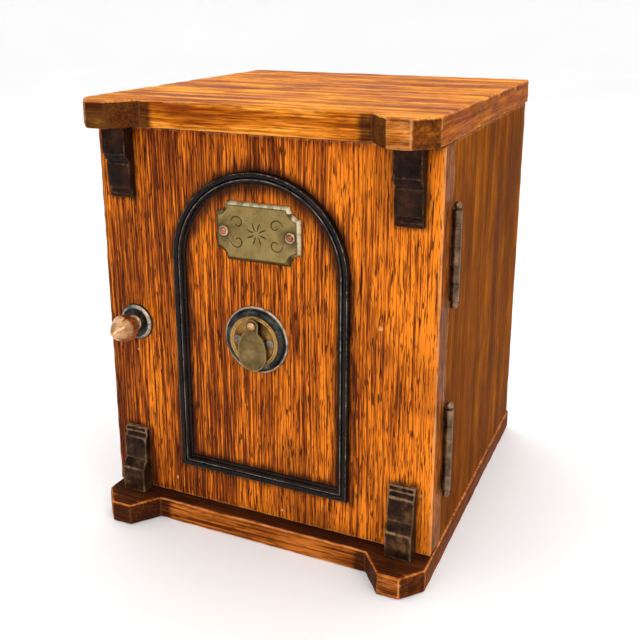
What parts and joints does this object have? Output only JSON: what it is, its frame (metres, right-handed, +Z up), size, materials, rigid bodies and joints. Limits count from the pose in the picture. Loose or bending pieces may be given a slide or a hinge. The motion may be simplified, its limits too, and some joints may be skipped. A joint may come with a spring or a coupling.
{
  "type": "wooden money box",
  "caption": "Oak money box made like a small safe: hinged front door with arched moulding, knob latch, keyhole drop and corbels, on eared boards.",
  "frame": {"origin": "middle of the base board's underside", "axes": "+X to the viewer's right, -Y out of the door, +Z up"},
  "size_m": [0.2213, 0.2322, 0.27],
  "materials": {
    "board_oak": "waxed oak, dark stained at the front, worn lighter on the edges",
    "door_oak": "polished orange-brown oak with dark pores",
    "side_oak": "polished brown oak",
    "plain_oak": "unpolished oak",
    "ebonised_wood": "black stained wood, worn on the edges",
    "brass": "aged brass",
    "dark_brass": "dark patinated brass",
    "steel": "dull steel"
  },
  "bodies": {
    "case": {"base_board": "board_oak", "top_board": "board_oak", "left_side": "side_oak", "right_side": "side_oak", "back_panel": "plain_oak", "door_stop": "plain_oak", "strike_keep": "brass", "lower_strike_screw": "brass", "upper_strike_screw": "brass", "back_screw_lower_left": "steel", "back_screw_upper_left": "steel", "back_screw_lower_right": "steel", "back_screw_upper_right": "steel", "lower_hinge_case_leaf": "brass", "lower_hinge_pin": "brass", "lower_hinge_case_screw_low": "brass", "lower_hinge_case_screw_high": "brass", "upper_hinge_case_leaf": "brass", "upper_hinge_pin": "brass", "upper_hinge_case_screw_low": "brass", "upper_hinge_case_screw_high": "brass"},
    "door": {"door_board": "door_oak", "arch_moulding": "ebonised_wood", "moulding_left": "ebonised_wood", "moulding_right": "ebonised_wood", "moulding_bottom": "ebonised_wood", "corbel_lower_left": "ebonised_wood", "corbel_lower_right": "ebonised_wood", "corbel_upper_left": "ebonised_wood", "corbel_upper_right": "ebonised_wood", "name_plate": "brass", "name_plate_pin_left": "brass", "name_plate_pin_right": "brass", "lock_boss": "dark_brass", "lock_plate": "brass", "lock_plate_screw_left": "steel", "lock_plate_screw_right": "steel", "cover_rivet": "brass", "knob_rose": "dark_brass", "lock_backplate": "steel", "lock_case": "steel", "key_post": "steel", "lock_screw_lower_left": "steel", "lock_screw_lower_right": "steel", "lock_screw_upper_left": "steel", "lock_screw_upper_right": "steel", "bolt_guide": "steel", "lower_hinge_door_leaf": "brass", "lower_hinge_door_screw_low": "brass", "lower_hinge_door_screw_high": "brass", "upper_hinge_door_leaf": "brass", "upper_hinge_door_screw_low": "brass", "upper_hinge_door_screw_high": "brass"},
    "latch_knob": {"door_knob": "brass", "latch_cam": "brass", "cam_nut": "brass"},
    "keyhole_drop": {"keyhole_cover": "brass"},
    "bolt": {"lock_bolt": "steel"}
  },
  "joints": [
    {"name": "door_swing", "type": "hinge", "parent": "case", "child": "door", "pos_m": [0.1104, -0.0743, 0], "axis": [0, 0, 1], "range_deg": [0, 180]},
    {"name": "knob_turn", "type": "hinge", "parent": "door", "child": "latch_knob", "pos_m": [-0.0872, -0.0749, 0.1301], "axis": [0, 1, 0], "range_deg": [0, 90]},
    {"name": "cover_swing", "type": "hinge", "parent": "door", "child": "keyhole_drop", "pos_m": [-0.0026, -0.097, 0.142], "axis": [0, -1, 0], "range_deg": [-100, 100]},
    {"name": "bolt_slide", "type": "slide", "parent": "door", "child": "bolt", "axis": [-1, 0, 0], "range_m": [0, 0.006]}
  ]
}
